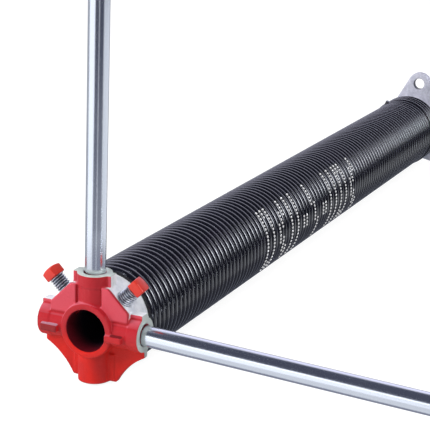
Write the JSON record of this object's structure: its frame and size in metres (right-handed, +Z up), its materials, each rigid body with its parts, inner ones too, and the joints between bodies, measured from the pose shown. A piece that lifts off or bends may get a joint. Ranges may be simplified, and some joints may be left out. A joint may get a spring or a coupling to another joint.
{
  "type": "garage door torsion spring",
  "caption": "Garage door torsion spring: a close-wound coated coil between a red winding cone and a cast stationary cone, with square-headed set screws and steel winding bars",
  "frame": {"origin": "centre of the stationary cone's mounting face, on the shaft's centre line", "axes": "+X is the shaft's direction out of the mounting face, +Z is up along the upright winding bar, and the level winding bar lies along -Y"},
  "size_m": [0.6524, 0.5234, 0.5094],
  "materials": {
    "coil_black": "gloss black coating on spring steel",
    "cone_red": "satin red paint on an aluminium casting, hub and socket ends bare",
    "cast_aluminium": "as cast",
    "screw_zinc": "zinc plated thread, head dipped in red paint",
    "bar_steel": "bright drawn steel"
  },
  "bodies": {
    "root": {"spring_coil": "coil_black", "winding_cone": "cone_red", "stationary_cone": "cast_aluminium", "set_screw_left": "screw_zinc", "set_screw_right": "screw_zinc", "winding_bar_upright": "bar_steel", "winding_bar_level": "bar_steel"}
  },
  "joints": []
}
